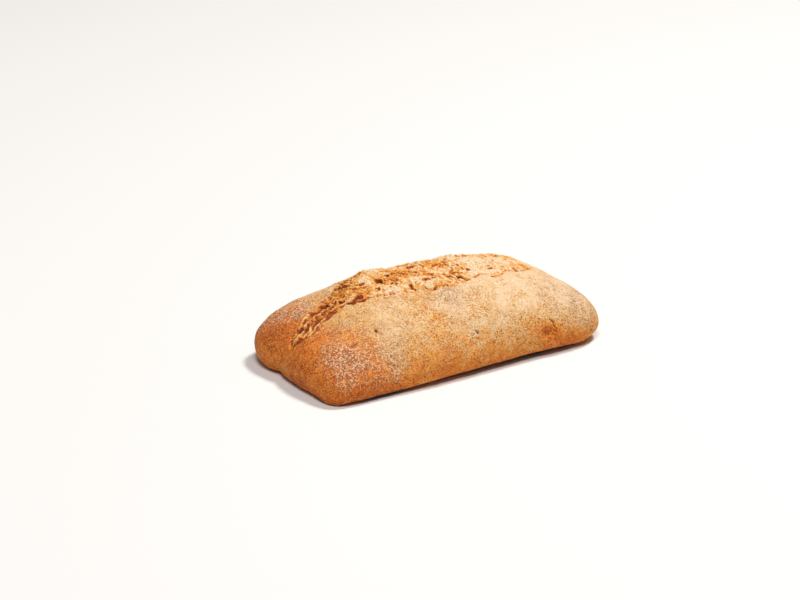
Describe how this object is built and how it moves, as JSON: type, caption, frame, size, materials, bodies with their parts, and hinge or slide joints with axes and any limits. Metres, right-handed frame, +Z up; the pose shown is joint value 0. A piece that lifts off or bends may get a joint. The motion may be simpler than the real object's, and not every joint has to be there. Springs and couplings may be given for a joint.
{
  "type": "ciabatta loaf",
  "caption": "Whole ciabatta: a flat, rounded rectangular bread loaf with a floury golden crust and a craggy burst seam along its top.",
  "frame": {"origin": "middle of the loaf's bounding box, on the surface it rests on", "axes": "+X along the loaf's length, away from the end that the seam runs down; +Y across it, away from the long side with the even crust; +Z up"},
  "size_m": [0.2338, 0.1204, 0.0566],
  "materials": {
    "crust": "baked crust, dry and floury"
  },
  "bodies": {
    "root": {"ciabatta": "crust"}
  },
  "joints": []
}
